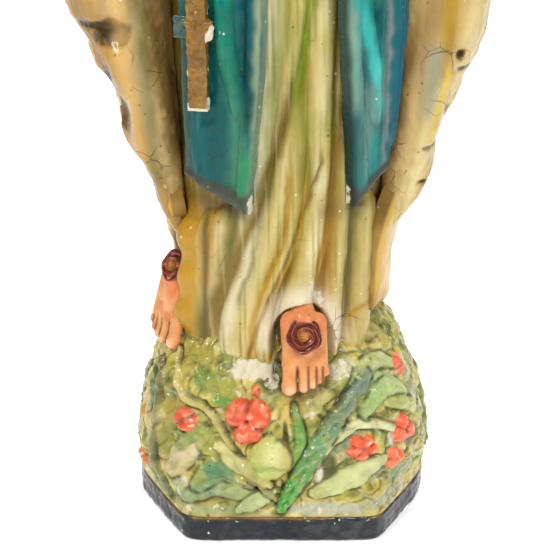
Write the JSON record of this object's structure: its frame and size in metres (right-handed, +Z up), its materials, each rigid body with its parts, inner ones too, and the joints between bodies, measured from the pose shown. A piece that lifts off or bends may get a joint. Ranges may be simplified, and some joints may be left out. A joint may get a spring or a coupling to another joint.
{
  "type": "devotional statue",
  "caption": "Painted plaster madonna statue: a robed and veiled figure with praying hands, rosary and crucifix, standing on a flowered mound with an octagonal plinth.",
  "frame": {"origin": "middle of the plinth's underside, on the surface that the statue stands on", "axes": "+Z up the figure, -Y the way the figure faces, +X the figure's left-hand side"},
  "size_m": [0.14, 0.097, 0.402],
  "materials": {
    "cream_paint": "glossy cream paint over cast plaster, olive and ochre wash in the folds",
    "teal_paint": "glossy teal paint over cast plaster",
    "leaf_green_paint": "glossy yellow-green and dark green paint over cast plaster",
    "coral_paint": "glossy coral paint over cast plaster",
    "flesh_paint": "glossy flesh paint over cast plaster",
    "hair_paint": "satin brown paint over cast plaster",
    "gilt_paint": "old gold paint over cast plaster",
    "rose_paint": "dark red-brown paint over cast plaster",
    "plinth_paint": "glossy blue-black paint over cast plaster",
    "bare_plaster": "bare plaster",
    "iron_wire": "plain drawn iron"
  },
  "bodies": {
    "root": {"armature_rod": "iron_wire", "bud_front": "leaf_green_paint", "cloak_back": "cream_paint", "cloak_side_left": "cream_paint", "cloak_side_right": "cream_paint", "closing_plate": "bare_plaster", "crucifix": "gilt_paint", "flower_back_1": "coral_paint", "flower_back_2": "coral_paint", "flower_back_3": "coral_paint", "flower_back_4": "coral_paint", "flower_corner": "coral_paint", "flower_front": "coral_paint", "flower_oval": "coral_paint", "flower_rosette": "coral_paint", "flower_side": "coral_paint", "flower_upper_right": "coral_paint", "foot_left": "flesh_paint", "foot_right": "flesh_paint", "gown": "cream_paint", "hair": "hair_paint", "hand_left": "flesh_paint", "hand_right": "flesh_paint", "head": "flesh_paint", "leaf_back_1": "leaf_green_paint", "leaf_back_2": "leaf_green_paint", "leaf_back_3": "leaf_green_paint", "leaf_back_4": "leaf_green_paint", "leaf_back_5": "leaf_green_paint", "leaf_feather": "leaf_green_paint", "leaf_long_centre": "leaf_green_paint", "leaf_low_front": "leaf_green_paint", "leaf_low_right": "leaf_green_paint", "leaf_middle_right": "leaf_green_paint", "leaf_scroll": "leaf_green_paint", "leaf_short_centre": "leaf_green_paint", "leaf_side_upper": "leaf_green_paint", "leaf_strap": "leaf_green_paint", "leaf_under_bud": "leaf_green_paint", "leaf_upper_front": "leaf_green_paint", "leaf_upper_right": "leaf_green_paint", "mantle_left": "teal_paint", "mantle_right": "teal_paint", "mound": "leaf_green_paint", "plinth": "plinth_paint", "rosary_loop": "gilt_paint", "rosary_pendant": "gilt_paint", "rose_left": "rose_paint", "rose_right": "rose_paint", "sleeve_left": "cream_paint", "sleeve_right": "cream_paint", "stem_front": "leaf_green_paint", "veil": "cream_paint", "wrist_pin_left": "iron_wire", "wrist_pin_right": "iron_wire"}
  },
  "joints": []
}
